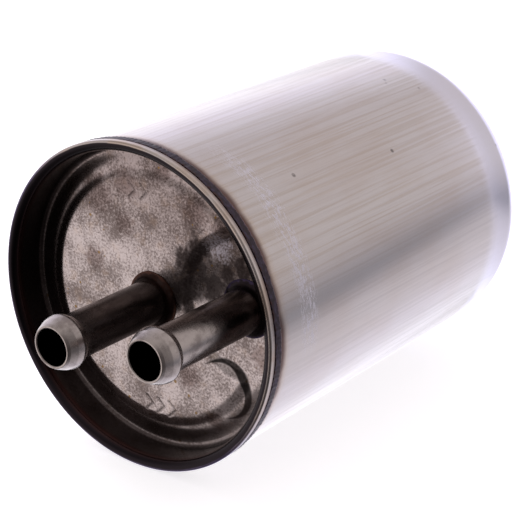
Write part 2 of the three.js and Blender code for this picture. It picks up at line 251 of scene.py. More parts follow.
def rounded(corners):
    """Points of an open outline in radius and y, each inner corner rounded to its own radius."""
    points = [Vector(corners[0][:2])]
    for before, corner, after in zip(corners, corners[1:], corners[2:]):
        at, rounding = Vector(corner[:2]), corner[2]
        back = (Vector(before[:2]) - at).normalized()
        onward = (Vector(after[:2]) - at).normalized()
        half = back.angle(onward) / 2
        centre = at + (back + onward).normalized() * rounding / math.sin(half)
        start = at + back * rounding / math.tan(half) - centre
        sweep = start.angle_signed(at + onward * rounding / math.tan(half) - centre)
        steps = max(2, math.ceil(abs(sweep) / ARC_STEP))
        points += [centre + Matrix.Rotation(-sweep * i / steps, 2) @ start for i in range(steps + 1)]
    points.append(Vector(corners[-1][:2]))
    return points


def ring(radius, y, sides, centre=(0, 0)):
    """A circle of points round the Y axis, or round a line beside it."""
    angles = [2 * math.pi * i / sides for i in range(sides)]
    return [Vector((centre[0] + radius * math.cos(a), y, centre[1] + radius * math.sin(a))) for a in angles]


def piece_from(name, mesh_data):
    """A smooth-shaded object made from a bmesh."""
    bmesh.ops.remove_doubles(mesh_data, verts=mesh_data.verts, dist=1e-7)
    bmesh.ops.recalc_face_normals(mesh_data, faces=mesh_data.faces)
    mesh = bpy.data.meshes.new(name)
    mesh_data.to_mesh(mesh)
    mesh_data.free()
    mesh.shade_smooth()
    mesh.set_sharp_from_angle(angle=SHARP_ANGLE)
    piece = bpy.data.objects.new(name, mesh)
    bpy.context.scene.collection.objects.link(piece)
    return piece


def skin(name, rows, closed=True):
    """A surface through rows of points. Each row is a ring; closed joins the last row to the first."""
    mesh_data = bmesh.new()
    grid = [[mesh_data.verts.new(point) for point in row] for row in rows]
    pairs = list(zip(grid, grid[1:])) + ([(grid[-1], grid[0])] if closed else [])
    for low, high in pairs:
        for i in range(len(low)):
            j = (i + 1) % len(low)
            mesh_data.faces.new((low[i], low[j], high[j], high[i]))
    if not closed:
        mesh_data.faces.new(grid[0])
        mesh_data.faces.new(grid[-1])
    return piece_from(name, mesh_data)


def turned(name, outline, sides, centre=(0, 0)):
    """A solid turned from a closed outline of radius and y."""
    return skin(name, [ring(radius, y, sides, centre) for radius, y in outline])


def cut(piece, tool):
    """Cut one object out of another and remove the tool."""
    modifier = piece.modifiers.new("cut", "BOOLEAN")
    modifier.operation = "DIFFERENCE"
    modifier.solver = "EXACT"
    modifier.object = tool
    evaluated = piece.evaluated_get(bpy.context.evaluated_depsgraph_get())
    mesh = bpy.data.meshes.new_from_object(evaluated)
    piece.modifiers.clear()
    piece.data = mesh
    mesh.set_sharp_from_angle(angle=SHARP_ANGLE)
    bpy.data.objects.remove(tool)


def finish_piece(piece, material, body, slot, *nodes):
    """Dress a piece, make it ride on its body and let it stand for its CAD nodes."""
    piece.data.materials.clear()
    piece.data.materials.append(material)
    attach(piece, body)
    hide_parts(*nodes)


def can_outline(can):
    """Closed outline of the can's shell, from the outer mouth edge round the closed end and back."""
    across, inner = can.radius - can.end_flat, can.radius - can.sheet
    quarter = [math.pi / 2 * i / 24 for i in range(25)]
    step = can.step
    outer = [
        (can.end_flat + (across - step) * math.cos(a), -can.shoulder + can.shoulder * math.sin(a))
        for a in quarter
    ]
    inside = [
        (can.end_flat + (across - can.sheet) * math.cos(a),
         -can.shoulder + (can.shoulder - can.sheet) * math.sin(a))
        for a in reversed(quarter)
    ]
    wall = [
        (inner, can.mouth), (can.radius - step, can.mouth), (can.radius, can.mouth + step),
        (can.radius, -can.draw_line - 4 * step), (can.radius - step, -can.draw_line),
    ]
    return wall + outer + [(0, 0), (0, -can.sheet)] + inside


def weld_rows(can):
    """Rings of the seam weld, with ripples along it and a slightly uneven edge."""
    profile = rounded([
        (can.radius - 0.1 * MM, can.weld_start),
        (can.weld_radius - 0.02 * MM, can.weld_start, 0.15 * MM),
        (can.weld_radius, can.weld_end, 0.5 * MM),
        (can.radius - 0.1 * MM, can.weld_end + 0.15 * MM),
    ])
    around = round(2 * math.pi * can.radius / can.weld_pitch)
    rows = []
    for k, (radius, y) in enumerate(profile):
        inside = k in (0, len(profile) - 1)
        row = []
        for point in ring(1, 0, SIDES_WELD):
            angle = math.atan2(point.z, point.x)
            phase = around * angle + 700 * (y - can.weld_start)
            uneven = noise.noise(Vector((point.x * 40, y / MM, point.z * 40)))
            nub = max(0.0, noise.noise(Vector((point.x * 75, 2 * y / MM, point.z * 75 + 9))) - 0.45)
            rise = 0 if inside else can.weld_ripple * (0.5 * math.cos(phase) + uneven + 5 * nub)
            reach = radius + rise
            shift = 0.12 * MM * uneven
            row.append(Vector((reach * point.x, y + shift, reach * point.z)))
        rows.append(row)
    return rows


def plateau_share(plate, x, z):
    """1 on the raised centre, 0 off it, with a soft slope between."""
    to_rim = plate.foot - math.hypot(x, z)
    to_seat = math.hypot(x - INLET.x, z - INLET.z) - plate.seat
    inset = min(to_rim, to_seat)
    if to_rim < plate.corner and to_seat < plate.corner:
        inset = plate.corner - math.hypot(plate.corner - to_rim, plate.corner - to_seat)
    return ease(inset / plate.shoulder)


def plate_depth(plate, x, z):
    """Depth of the plate's front face behind the lip, at a place inside the channel."""
    reach = math.hypot(x, z)
    off_seat = ease((math.hypot(x - INLET.x, z - INLET.z) - plate.seat) / plate.corner)
    along = ease((reach - plate.foot) / (plate.channel - plate.foot))
    low = plate.depth + plate.drop - off_seat * (1 - along) * (plate.drop - plate.foot_drop)
    return low - (low - plate.depth) * plateau_share(plate, x, z)


OUTLET_MARKS_AT = (-2.2 * MM, -21 * MM)  # x and z of the first chevron's left side
INLET_MARKS_AT = (-5.2 * MM, 20 * MM)
MARKS_FROM = 17 * MM  # nothing is stamped closer to the axis than this


def mark_lines(plate):
    """The strokes of the stamped chevrons, as pairs of points in x and z. They point towards +X."""
    rows = ((plate.outlet_marks, *OUTLET_MARKS_AT), (plate.inlet_marks, *INLET_MARKS_AT))
    half = plate.mark_height / 2
    lines = []
    for count, x, z in rows:
        for i in range(count):
            left = x + i * plate.mark_spacing
            tip = Vector((left + half, z))
            lines += [(Vector((left, z - half)), tip), (Vector((left, z + half)), tip)]
    return lines


def mark_depth(plate, lines, x, z):
    """Extra depth of the plate where a chevron is stamped."""
    at, deepest = Vector((x, z)), 0.0
    for start, end in lines:
        run = end - start
        share = min(max((at - start).dot(run) / run.length_squared, 0), 1)
        away = (at - start - run * share).length
        deepest = max(deepest, ease(1 - 2 * away / plate.mark_stroke))
    return plate.mark_depth * deepest


def paint_stamped(piece, plate):
    """Mark on the mesh where the chevrons are stamped, for the painted shade in their grooves."""
    lines = mark_lines(plate)
    stamped = piece.data.attributes.new("stamped", "FLOAT", "POINT")
    for vertex, value in zip(piece.data.vertices, stamped.data):
        if abs(vertex.co.z) > MARKS_FROM:
            value.value = mark_depth(plate, lines, vertex.co.x, vertex.co.z) / plate.mark_depth


def plate_rings(plate):
    """Radii of the front face's rings, closer together where the marks and the shoulder are."""
    radii, radius = [], plate.hole
    while radius < plate.channel:
        radii.append(radius)
        near_edge = 18.5 * MM < radius < 25.5 * MM
        radius += 0.17 * MM if near_edge else 0.3 * MM
    return radii + [plate.channel]


def plate_rows(plate):
    """Rings of the plate: front face, channel, wall, rolled lip and back face."""
    lines = mark_lines(plate)
    outside = plate.wall + plate.sheet
    floor_y = LIP_Y + plate.depth + plate.drop
    lip_back = LIP_Y + plate.lip_length

    def face_row(radius, extra, stamped):
        row = []
        for point in ring(radius, 0, SIDES_PLATE):
            depth = plate_depth(plate, point.x, point.z) + extra
            if stamped and radius > MARKS_FROM:
                depth += mark_depth(plate, lines, point.x, point.z)
            row.append(Vector((point.x, LIP_Y + depth, point.z)))
        return row

    radii = plate_rings(plate)
    rim = rounded([
        (plate.channel, floor_y),
        (plate.wall, floor_y, 1.05 * MM),
        (plate.wall, LIP_Y, plate.lip_round),
        (plate.lip_radius, LIP_Y, 0.45 * MM),
        (plate.lip_radius, lip_back, 0.12 * MM),
        (outside, lip_back, 0.1 * MM),
        (outside, floor_y),
    ])
    front = [face_row(radius, 0, True) for radius in radii]
    middle_rows = [ring(radius, y, SIDES_PLATE) for radius, y in rim[1:]]
    back = [face_row(radius, plate.sheet, False) for radius in reversed(radii[::4])]
    return front + middle_rows + back


def nipple_outline(nipple, inner_end):
    """Closed outline of a hose nipple: bore, eased mouth, barb bead and plain tube."""
    crest, end = MOUTH_Y + nipple.barb_crest, MOUTH_Y + nipple.barb_end
    return rounded([
        (nipple.bore, inner_end - 0.2 * MM),
        (nipple.bore, MOUTH_Y, 0.22 * MM),
        (nipple.radius - 0.25 * MM, MOUTH_Y, 0.12 * MM),
        (nipple.radius + 0.05 * MM, MOUTH_Y + 0.5 * MM, 0.2 * MM),
        (nipple.barb - 0.3 * MM, crest - 1.35 * MM, 1.1 * MM),
        (nipple.barb + 0.04 * MM, crest, 1.1 * MM),
        (nipple.barb - 0.35 * MM, crest + 0.8 * MM, 0.5 * MM),
        (nipple.radius, end, 0.6 * MM),
        (nipple.radius, inner_end, 0.05 * MM),
        (nipple.bore, inner_end),
    ])


def braze_rows(nipple, node):
    """Rings of a braze fillet: concave, with an edge that wanders a little."""
    low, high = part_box(node)
    centre, height = middle(node), high.y - low.y
    inner, width = nipple.radius - 0.05 * MM, nipple.braze - nipple.radius
    shares = [i / 12 for i in range(13)]
    rows = []
    for share in shares:
        row = []
        for point in ring(1, 0, SIDES_NIPPLE):
            wander = nipple.braze_wander * noise.noise(Vector((2 * point.x, centre.x * 900, 2 * point.z)))
            reach = nipple.radius + (width + wander) * share
            y = high.y - height * (1 - math.sqrt(1 - (1 - share) ** 2))
            row.append(Vector((centre.x + reach * point.x, y, centre.z + reach * point.z)))
        rows.append(row)
    rows.append(ring(nipple.braze, high.y + 0.02 * MM, SIDES_NIPPLE, (centre.x, centre.z)))
    rows.append(ring(inner, high.y + 0.02 * MM, SIDES_NIPPLE, (centre.x, centre.z)))
    return rows


def spring_rows(spring):
    """Rings of the spring wire along its helix, with closed ends ground flat."""
    low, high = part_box("preload_spring")
    half = spring.wire / 2
    coil = (high.x - low.x) / 2 - half
    steps = round(spring.steps * spring.turns)
    rows = []
    for i in range(steps + 1):
        t = i / steps
        angle = 2 * math.pi * spring.turns * t
        rise = t - 0.5 * math.sin(2 * math.pi * t) / (2 * math.pi)
        y = low.y + half + (high.y - low.y - spring.wire) * rise
        outward = Vector((math.cos(angle), 0, math.sin(angle)))
        row = []
        for k in range(16):
            turn = 2 * math.pi * k / 16
            point = outward * (coil + half * math.cos(turn)) + Vector((0, y + half * math.sin(turn), 0))
            point.y = min(max(point.y, low.y + 0.1 * half), high.y - 0.1 * half)
            row.append(point)
        rows.append(row)
    return rows


# ---------------------------------------------------------------- materials

COLOUR = {"data_type": "RGBA"}
FILTER = {"data_type": "RGBA", "blend_type": "MULTIPLY"}
SMOOTH = {"interpolation_type": "SMOOTHSTEP"}
ADD = {"operation": "ADD"}
ARCTAN2 = {"operation": "ARCTAN2"}
DISTANCE = {"operation": "DISTANCE"}
MAXIMUM = {"operation": "MAXIMUM"}
MINIMUM = {"operation": "MINIMUM"}
MULTIPLY = {"operation": "MULTIPLY"}
MULTIPLY_ADD = {"operation": "MULTIPLY_ADD"}
SUBTRACT = {"operation": "SUBTRACT"}

LIP = LIP_Y / MM
MOUTH = (MOUTH_Y - LIP_Y) / MM  # depths behind the lip, in mm, are negative out here


def add(tree, kind, settings=None, inputs=None):
    """Add a shader node. An input takes a value, a socket, or a node for its first live output."""
    node = tree.nodes.new("ShaderNode" + kind)
    for key, value in (settings or {}).items():
        setattr(node, key, value)
    for key, value in (inputs or {}).items():
        socket = node.inputs[key]
        if isinstance(value, bpy.types.Node):
            value = next(output for output in value.outputs if output.enabled)
        if isinstance(value, bpy.types.NodeSocket):
            tree.links.new(value, socket)
        else:
            socket.default_value = (*value, 1) if socket.type == "RGBA" else value
    return node


def new_material(name):
    """An empty node material, and its node for position in millimetres."""
    material = bpy.data.materials.new(name)
    material.use_nodes = True
    tree = material.node_tree
    tree.nodes.clear()
    coords = add(tree, "TexCoord")
    place = add(tree, "VectorMath", {"operation": "SCALE"}, {0: coords.outputs["Object"], "Scale": 1000})
    return material, tree, place


def surface(tree, base, rough, height, strength, relief, metallic=1.0):
    """Close a material with its colour, its gloss and a relief, whose depth is in millimetres."""
    bump = add(tree, "Bump", None, {"Strength": strength, "Distance": relief * MM, "Height": height})
    shader = add(
        tree, "BsdfPrincipled", None,
        {"Base Color": base, "Roughness": rough, "Normal": bump, "Metallic": metallic})
    add(tree, "OutputMaterial", None, {"Surface": shader})


def grain(tree, place, size, detail=3.0, roughness=0.55, seed=0.0):
    """Noise whose grains have a size in millimetres along x, y and z."""
    scale = tuple(1 / s for s in size)
    moved = add(tree, "VectorMath", MULTIPLY_ADD, {0: place, 1: scale, 2: (seed, seed, seed)})
    return add(
        tree, "TexNoise", None, {"Vector": moved, "Scale": 1.0, "Detail": detail, "Roughness": roughness})


def overlap(tree, share, *ramps):
    """A share, cut by ramps. Each is a value and where its smooth climb from 0 to 1 starts and ends."""
    for value, start, end in ramps:
        share = add(tree, "MapRange", SMOOTH, {0: value, 1: start, 2: end, 4: share})
    return share


def layer(tree, base, over, share, *ramps, blend=COLOUR):
    """Lay one colour over another, by a share and its ramps."""
    return add(tree, "Mix", blend, {0: overlap(tree, share, *ramps), 6: base, 7: over})


def wander(tree, value, cloud, reach):
    """A value that a noise pushes up and down by up to a reach."""
    push = add(tree, "MapRange", SMOOTH, {0: cloud, 1: 0.3, 2: 0.7, 3: -reach, 4: reach})
    return add(tree, "Math", ADD, {0: value, 1: push})


def gloss(tree, value, low, high):
    """Roughness that goes from low to high with a noise."""
    return add(tree, "MapRange", SMOOTH, {0: value, 1: 0.3, 2: 0.7, 3: low, 4: high})


def behind_lip(tree, place):
    """Depth behind the rolled lip, in millimetres."""
    parts = add(tree, "SeparateXYZ", None, {0: place})
    return add(tree, "Math", SUBTRACT, {0: parts.outputs["Y"], 1: LIP})


def from_axis(tree, place, x, z):
    """Distance of a place from a line along Y, in millimetres."""
    flat = add(tree, "VectorMath", MULTIPLY, {0: place, 1: (1, 0, 1)})
    return add(tree, "VectorMath", DISTANCE, {0: flat, 1: (x, 0, z)})


# Pits in the can's wall: depth behind the lip in mm, angle in degrees, size in mm.
PITS = (
    (21.7, 50, 0.6), (50, 44, 0.55), (67, 73, 0.4), (66, 71, 0.3), (72, 63, 0.35), (82, 30, 0.3),
)


def pitted(tree, place):
    """1 in the can's pits, fading to 0 round them."""
    radius, pits = turned_radius("canister") / MM, 0.0
    for depth, degrees, size in PITS:
        angle = math.radians(degrees)
        centre = (radius * math.cos(angle), LIP + depth, radius * math.sin(angle))
        away = add(tree, "VectorMath", DISTANCE, {0: place, 1: centre})
        pits = add(tree, "Math", MAXIMUM, {0: overlap(tree, 1.0, (away, size, size * 0.4)), 1: pits})
    return pits


def brushed_drawn_stainless(colours):
    """Deep-drawn 304 stainless, brushed along the axis: long soft lines that streak the reflections,
    in shades from cream to lavender grey. Past the draw line it's plain drawn metal, smooth and bluish."""
    material, tree, place = new_material("brushed_drawn_stainless")
    parts = add(tree, "SeparateXYZ", None, {0: place})
    angle = add(tree, "Math", ARCTAN2, {0: parts.outputs["Z"], 1: parts.outputs["X"]})
    depth = behind_lip(tree, place)
    # Real brush lines are about 0.1 mm apart; these are 0.25 mm so that they show.
    fine = grain(tree, place, (0.25, 26, 0.25), 3, 0.6)
    coarse = grain(tree, place, (0.55, 50, 0.55), 3, 0.6, seed=7)
    cloud = grain(tree, place, (9, 14, 9), 3, 0.5, seed=3)
    lines = add(tree, "Mix", None, {0: 0.4, 2: fine, 3: coarse})
    base = layer(
        tree, colours.stainless, colours.stainless_line, 0.5,
        (angle, 0.0, 0.5), (angle, 1.9, 1.1), (coarse, 0.46, 0.6))
    base = layer(tree, base, colours.plate_dark, 0.1, (lines, 0.42, 0.62))
    base = layer(tree, base, colours.straw_tint, 0.14, (cloud, 0.4, 0.7))
    base = layer(tree, base, colours.drawn_end, 0.9, (depth, 72.5, 78))
    # Heat tint fades from the weld over 2 mm.
    wavy = wander(tree, depth, cloud, 0.35)
    base = layer(tree, base, colours.straw_tint, 0.4, (wavy, 6.2, 4.0))
    base = layer(tree, base, colours.brown_tint, 0.9, (wavy, 5.0, 3.5))
    # A fixture has rubbed one band of short pale scratches on the side.
    scratches = grain(tree, place, (1.3, 0.5, 1.3), 3, 0.7, seed=5)
    scuff = overlap(
        tree, 1.0, (wavy, 8.2, 11.2), (wavy, 15.2, 12.6), (angle, -0.2, 0.05), (angle, 1.4, 0.9),
        (scratches, 0.46, 0.6))
    base = layer(tree, base, colours.drawn_end, add(tree, "Math", MULTIPLY, {0: scuff, 1: 0.6}))
    crumble = add(tree, "MapRange", SMOOTH, {0: fine, 1: 0.35, 2: 0.6, 3: 0.28, 4: 0.8})
    pits = add(tree, "Math", MULTIPLY, {0: pitted(tree, place), 1: crumble})
    base = layer(tree, base, colours.oxide, pits)
    rough = add(tree, "MapRange", SMOOTH, {0: lines, 1: 0.35, 2: 0.65, 3: 0.18, 4: 0.25})
    rough = add(tree, "Math", MULTIPLY_ADD, {0: scuff, 1: 0.25, 2: rough})
    surface(tree, base, rough, overlap(tree, lines, (depth, 76.5, 74)), 0.3, 0.02)
    return material


# Patches of the plate: x and z of the middle and radius, in mm.
SCALE_PATCHES = (
    (-6.5, 13.3, 2.6), (8.2, -13.0, 3.0), (-6.0, 21.0, 3.6), (13.5, -20.5, 1.9), (-14.0, 5.0, 2.6),
    (-12.5, 17.5, 4.2), (2.0, 24.5, 2.2), (16.5, 17.5, 3.2), (10.0, 19.0, 3.5), (22.0, 12.0, 3.0),
    (24.0, -5.5, 3.4),
)
# Painted shadow and reflection of the nipples on the plate.
SOOT_PATCHES = (
    (7.0, 4.5, 4.2), (9.3, 8.6, 4.2), (11.0, 12.6, 2.8), (13.4, 5.6, 4.0), (16.0, 8.6, 2.8),
    (20.0, 9.8, 3.0),
)
# A light gap, with pale flecks, left in that painted shadow and reflection.
CLEAN_PATCHES = ((14.8, 13.1, 2.9),)
# The crescent of painted shade in the step beside the seat: outer and inner circle, as x, z and radius in
# mm.
STEP_GRIME = ((16.1, -13.4, 5.9), (15.0, -13.9, 5.5))
# Painted shade lies on the rim's low side, below and to the left of the centre.
SMOKED_SIDE = (math.cos(math.radians(-133)), 0, math.sin(math.radians(-133)))
DULL_SIDE = (0.35, 0, 1)  # the plate's colour is darker towards the top


def patches(tree, place, spots, edge, share):
    """Soft round patches on the plate, joined, with ragged edges."""
    wobble = add(tree, "MapRange", SMOOTH, {0: edge, 1: 0.3, 2: 0.7, 3: -0.35, 4: 0.35})
    joined = 0.0
    for x, z, size in spots:
        away = from_axis(tree, place, x, z)
        ragged = add(tree, "Math", MULTIPLY_ADD, {0: away, 1: 1 / size, 2: wobble})
        joined = add(tree, "Math", MAXIMUM, {0: overlap(tree, share, (ragged, 1.15, 0.45)), 1: joined})
    return joined


def lip_finish(tree, colours, place, depth, radius, low_side):
    """The rolled lip's colour: its edge is worn bright, with a painted lavender highlight on its low side;
    the inside of its roll is dark with heat tint and painted shade, and its back is tinted by heat.
    """
    around = grain(tree, place, (5, 5, 5), 3, 0.6, seed=2)
    worn = add(tree, "MapRange", SMOOTH, {0: around, 1: 0.35, 2: 0.65, 3: 0.15, 4: 0.6})
    worn = layer(tree, colours.stainless, colours.straw_tint, worn)
    # Painted lavender highlight on the lip's low side.
    worn = layer(tree, worn, colours.lip_lavender, low_side)
    ragged = wander(tree, radius, around, 0.05)
    # The inside of the roll is dark with heat tint and painted shade.
    edge = layer(tree, colours.lip_roll, worn, 1.0, (ragged, 30.4, 30.7))
    return layer(tree, edge, colours.brown_tint, 0.85, (depth, 0.3, 1.4))


def pickled_pressed_steel(colours):
    """Pressed steel sheet, pickled after brazing: a mottled grey bloom that still mirrors softly, with
    rust specks. Painted shade darkens the low side of its rim nearly black, and the rolled lip is bright."""
    material, tree, place = new_material("pickled_pressed_steel")
    depth = behind_lip(tree, place)
    radius = from_axis(tree, place, 0, 0)
    fine = grain(tree, place, (0.45, 0.45, 0.45), 5, 0.75)
    blotch = grain(tree, place, (6, 6, 6), 4, 0.55, seed=11)
    mottle = add(tree, "Mix", None, {0: 0.4, 2: fine, 3: blotch})
    warm = grain(tree, place, (2.2, 2.2, 2.2), 3, 0.6, seed=17)
    base = layer(tree, colours.plate_dark, colours.plate_light, 1.0, (mottle, 0.41, 0.575))
    base = layer(tree, base, colours.straw_tint, 0.22, (warm, 0.5, 0.72))
    # Scaly patches are 4 to 8 mm across; painted shadow and reflection of the nipples darken the plate
    # between them.
    edge = grain(tree, place, (0.9, 0.9, 0.9), 4, 0.7, seed=21)
    scale = patches(tree, place, SCALE_PATCHES, edge, 0.8)
    base = layer(tree, base, colours.plate_scale, scale, blend=FILTER)
    clean = patches(tree, place, CLEAN_PATCHES, edge, 1.0)
    kept = add(tree, "Math", SUBTRACT, {0: 1.0, 1: clean})
    soot = add(tree, "Math", MULTIPLY, {0: patches(tree, place, SOOT_PATCHES, warm, 0.84), 1: kept})
    base = layer(tree, base, colours.oxide, soot)
    flecks = add(tree, "MapRange", SMOOTH, {0: fine, 1: 0.42, 2: 0.55, 3: 0.1, 4: 0.85})
    base = layer(tree, base, colours.drawn_end, add(tree, "Math", MULTIPLY, {0: clean, 1: flecks}))
    rise = add(tree, "VectorMath", {"operation": "DOT_PRODUCT"}, {0: place, 1: DULL_SIDE})
    base = layer(tree, base, colours.plate_scale, 0.6, (rise, 2, 24), blend=FILTER)
    stamped = add(tree, "Attribute", {"attribute_name": "stamped"}).outputs["Fac"]
    # Painted shade darkens the chevron grooves.
    base = layer(tree, base, colours.oxide, add(tree, "Math", MULTIPLY, {0: stamped, 1: 0.55}))
    # Rust specks are 0.2 to 0.5 mm across, one or two to the square centimetre.
    cells = add(tree, "TexVoronoi", None, {"Vector": place, "Scale": 0.62, "Randomness": 1.0})
    chance = add(tree, "SeparateColor", None, {0: cells.outputs["Color"]})
    speck = overlap(tree, 0.24, (chance, 0.62, 0.95))
    speck = add(tree, "Math", SUBTRACT, {0: speck, 1: cells.outputs["Distance"]})
    base = layer(tree, base, colours.rust, 0.85, (speck, 0.0, 0.1))
    # Painted shade fills the crescent of the step beside the seat.
    outer, inner = STEP_GRIME
    base = layer(
        tree, base, colours.grime, 0.92,
        (from_axis(tree, place, *outer[:2]), outer[2] + 0.1, outer[2] - 0.4),
        (from_axis(tree, place, *inner[:2]), inner[2] - 0.3, inner[2]))
    # Painted shade darkens the rim's low side; the channel and wall are dark with oxide tint and painted
    # shade.
    side = add(tree, "VectorMath", {"operation": "DOT_PRODUCT"}, {0: place, 1: SMOKED_SIDE})
    side = add(tree, "Math", {"operation": "DIVIDE"}, {0: side, 1: radius})
    low_side = overlap(tree, 1.0, (side, -0.45, 0.1))
    patchy = wander(tree, from_axis(tree, place, 0.8, -0.4), warm, 0.3)
    rim = overlap(tree, 0.68, (side, -0.45, 0.1), (patchy, 22.4, 24.8))
    smoked = add(tree, "Math", MAXIMUM, {0: rim, 1: overlap(tree, 0.9, (radius, 27.9, 28.5))})
    base = layer(tree, base, colours.oxide, smoked)
    lip = lip_finish(tree, colours, place, depth, radius, low_side)
    base = layer(tree, base, lip, 1.0, (depth, 2.4, 1.5))
    rough = add(tree, "MapRange", SMOOTH, {0: mottle, 1: 0.35, 2: 0.65, 3: 0.28, 4: 0.19})
    for patch in (soot, clean):
        rough = add(tree, "Math", MULTIPLY_ADD, {0: patch, 1: 0.3, 2: rough})
    surface(tree, base, rough, mottle, 0.35, 0.02)
    return material


def heat_tinted_weld(colours):
    """Fusion weld in stainless, left unpolished: a rippled slate-grey bead between near-black edges."""
    material, tree, place = new_material("heat_tinted_fusion_weld")
    scale = grain(tree, place, (1.1, 0.4, 1.1), 4, 0.65, seed=4)
    wavy = wander(tree, behind_lip(tree, place), scale, 0.2)
    base = layer(tree, colours.brown_tint, colours.blue_tint, 1.0, (wavy, 1.35, 1.75), (wavy, 3.2, 2.8))
    base = layer(tree, base, colours.lip_lavender, 0.5, (scale, 0.45, 0.7))
    surface(tree, base, gloss(tree, scale, 0.32, 0.5), scale, 0.5, 0.04)
    return material


def satin_turned_steel(colours):
    """Turned steel tube, tumbled satin: faint turning rings and cloudy patches. Painted shade, standing for
    the reflection of the dark plate, darkens it towards the root and blackens the bore."""
    material, tree, place = new_material("satin_turned_steel")
    depth = behind_lip(tree, place)
    rings = grain(tree, place, (9, 0.16, 9), 3, 0.6, seed=6)
    cloud = grain(tree, place, (2.2, 3, 2.2), 4, 0.6, seed=8)
    base = layer(tree, colours.satin_steel, colours.plate_dark, 0.6, (cloud, 0.42, 0.66))
    # The painted shade on the inlet starts 9 mm further from its mouth than on the outlet.
    parts = add(tree, "SeparateXYZ", None, {0: place})
    later = overlap(tree, -9.0, (parts.outputs["X"], 8, 12))
    sooty = wander(tree, add(tree, "Math", ADD, {0: depth, 1: later}), cloud, 1.2)
    # Painted shade darkens the nipple towards its root.
    base = layer(tree, base, colours.tube_soot, 0.5, (sooty, MOUTH + 4.6, MOUTH + 5.6))
    base = layer(tree, base, colours.oxide, 0.78, (sooty, MOUTH + 6, 4.5))
    # Painted shade blackens the bores.
    outlet, inlet = (from_axis(tree, place, at.x / MM, at.z / MM) for at in (OUTLET, INLET))
    nearest = add(tree, "Math", MINIMUM, {0: outlet, 1: inlet})
    base = layer(
        tree, base, colours.grime, 0.97, (nearest, 3.65, 3.45), (depth, MOUTH + 0.1, MOUTH + 0.5))
    surface(tree, base, gloss(tree, cloud, 0.2, 0.3), rings, 0.35, 0.015)
    return material


def oxidised_braze(name, node, main, patch, colours):
    """Furnace-brazed copper filler, oxidised by heat: dull and nearly black by the tube, with its own
    colour on the thin outer edge."""
    material, tree, place = new_material(name)
    centre = middle(node) / MM
    flow = grain(tree, place, (1.2, 0.8, 1.2), 4, 0.6, seed=9)
    fine = grain(tree, place, (0.3, 0.3, 0.3), 3, 0.6, seed=1)
    edge = wander(tree, from_axis(tree, place, centre.x, centre.z), flow, 0.3)
    base = layer(tree, patch, colours.oxide, 0.5, (flow, 0.4, 0.62))
    base = layer(tree, base, main, 0.75, (edge, 4.9, 5.3))
    base = layer(tree, base, colours.oxide, 0.6, (fine, 0.5, 0.75))
    surface(tree, base, gloss(tree, flow, 0.3, 0.45), flow, 0.5, 0.04)
    return material


def grained(name, colour, dark, size, metallic, roughness, relief):
    """A plain finish with a grain of a real size: two shades, uneven gloss and a little relief."""
    material, tree, place = new_material(name)
    cells = grain(tree, place, size, 5, 0.65)
    base = layer(tree, tuple(c * dark for c in colour), colour, 1.0, (cells, 0.35, 0.65))
    surface(tree, base, gloss(tree, cells, roughness * 1.2, roughness * 0.8), cells, 0.6, relief, metallic)
    return material


def zinc_plated_steel(colours):
    """Pressed steel, zinc plated: bright, with a faint 0.8 mm spangle."""
    return grained("zinc_plated_pressed_steel", colours.zinc, 0.75, (0.8, 0.8, 0.8), 1, 0.34, 0.01)


def moulded_rubber(colours):
    """Moulded nitrile rubber: matt, with the 0.3 mm bloom of the mould's face."""
    return grained("moulded_nitrile_rubber", colours.rubber, 0.6, (0.3, 0.3, 0.3), 0, 0.72, 0.02)


def cast_resin(colours):
    """Poured potting resin: a smooth skin with slow 2 mm waves."""
    return grained("poured_potting_resin", colours.resin, 0.7, (2, 2, 2), 0, 0.42, 0.04)


def cured_paper(colours):
    """Resin-cured cellulose filter paper: matt fibres about 0.4 mm across, longer along the pleat."""
    return grained("resin_cured_filter_paper", colours.paper, 0.8, (0.4, 1.2, 0.4), 0, 0.85, 0.06)


def drawn_wire(colours):
    """Hard-drawn spring wire: semi-bright, with die lines along the wire."""
    return grained("hard_drawn_spring_wire", colours.spring, 0.7, (0.25, 0.12, 0.25), 1, 0.3, 0.01)


def sanded_acrylic():
    """Opal acrylic table lit from below, with a fine sanded face: white, with a faint shadow."""
    material, tree, place = new_material("sanded_opal_acrylic")
    sanded = grain(tree, place, (0.5, 0.5, 0.5), 2, 0.5)
    white = linear("#f4f3f5")
    shader = add(tree, "BsdfPrincipled", None, {
        "Base Color": white, "Roughness": gloss(tree, sanded, 0.6, 0.75),
        "Emission Color": white, "Emission Strength": 0.8})
    add(tree, "OutputMaterial", None, {"Surface": shader})
    return material


# ---------------------------------------------------------------- operators


def settings():
    """The settings that all operators read."""
    return bpy.context.scene.fuel_filter


class FUELFILTER_OT_canister(bpy.types.Operator):
    """Build the drawn can with its rounded closed end"""

    bl_idname = "fuel_filter.canister"
    bl_label = "Canister"

    def execute(self, context):
        values = settings()
        piece = turned("canister_shell", can_outline(values.can), SIDES_CAN)
        material = brushed_drawn_stainless(values.colours)
        finish_piece(piece, material, "housing", "drawn_stainless", "canister")
        return {"FINISHED"}


class FUELFILTER_OT_end_plate(bpy.types.Operator):
    """Build the dished end plate with its rolled lip, inlet seat and stamped flow marks"""

    bl_idname = "fuel_filter.end_plate"
    bl_label = "End plate"

    def execute(self, context):
        values = settings()
        plate = values.plate
        piece = skin("port_plate", plate_rows(plate))
        centre = (INLET.x, INLET.z)
        ends = (LIP_Y, LIP_Y + 3 * plate.depth)
        drill = skin("drill", [ring(plate.hole, y, SIDES_NIPPLE, centre) for y in ends], closed=False)
        cut(piece, drill)
        paint_stamped(piece, plate)
        material = pickled_pressed_steel(values.colours)
        finish_piece(piece, material, "housing", "pressed_plate", "end_plate")
        return {"FINISHED"}


